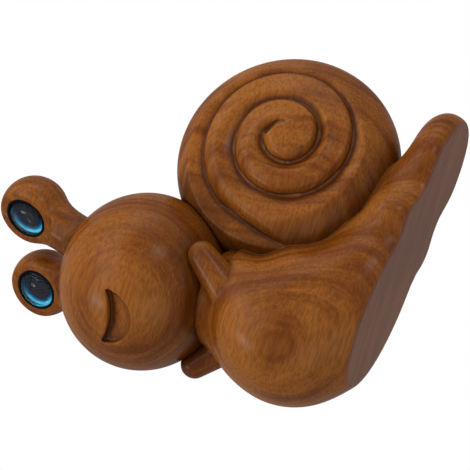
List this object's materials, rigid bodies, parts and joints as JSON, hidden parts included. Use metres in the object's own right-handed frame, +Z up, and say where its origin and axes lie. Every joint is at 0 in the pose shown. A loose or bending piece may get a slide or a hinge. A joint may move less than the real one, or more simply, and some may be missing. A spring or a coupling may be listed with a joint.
{
  "type": "snail figurine",
  "caption": "Carved wooden snail with a smiling ball head, glass eyes on bulb stalks and a coiled domed shell on a flat wavy-edged foot.",
  "frame": {"origin": "middle of the flat sole, on the plane that the figurine rests on", "axes": "+Z up from the sole, -Y the way the chest and the foot point forward, +X the snail's left"},
  "size_m": [0.036, 0.0694, 0.0779],
  "materials": {
    "carved_wood": "carved and polished, warm orange brown with fine grain; the sole is left flat and matt",
    "dowel_wood": "plain turned dowel, hidden inside",
    "eye_black": "gloss black",
    "iris_blue": "bright blue enamel, darker towards the top",
    "eye_glass": "clear domed glass"
  },
  "bodies": {
    "root": {"body": "carved_wood", "shell": "carved_wood", "head": "carved_wood", "eyestalk_left": "carved_wood", "eyestalk_right": "carved_wood", "head_dowel": "dowel_wood", "shell_dowel_front": "dowel_wood", "shell_dowel_rear": "dowel_wood", "eye_cup_left": "eye_black", "eye_cup_right": "eye_black", "eye_iris_left": "iris_blue", "eye_iris_right": "iris_blue", "eye_pupil_left": "eye_black", "eye_pupil_right": "eye_black", "eye_dome_left": "eye_glass", "eye_dome_right": "eye_glass"}
  },
  "joints": []
}
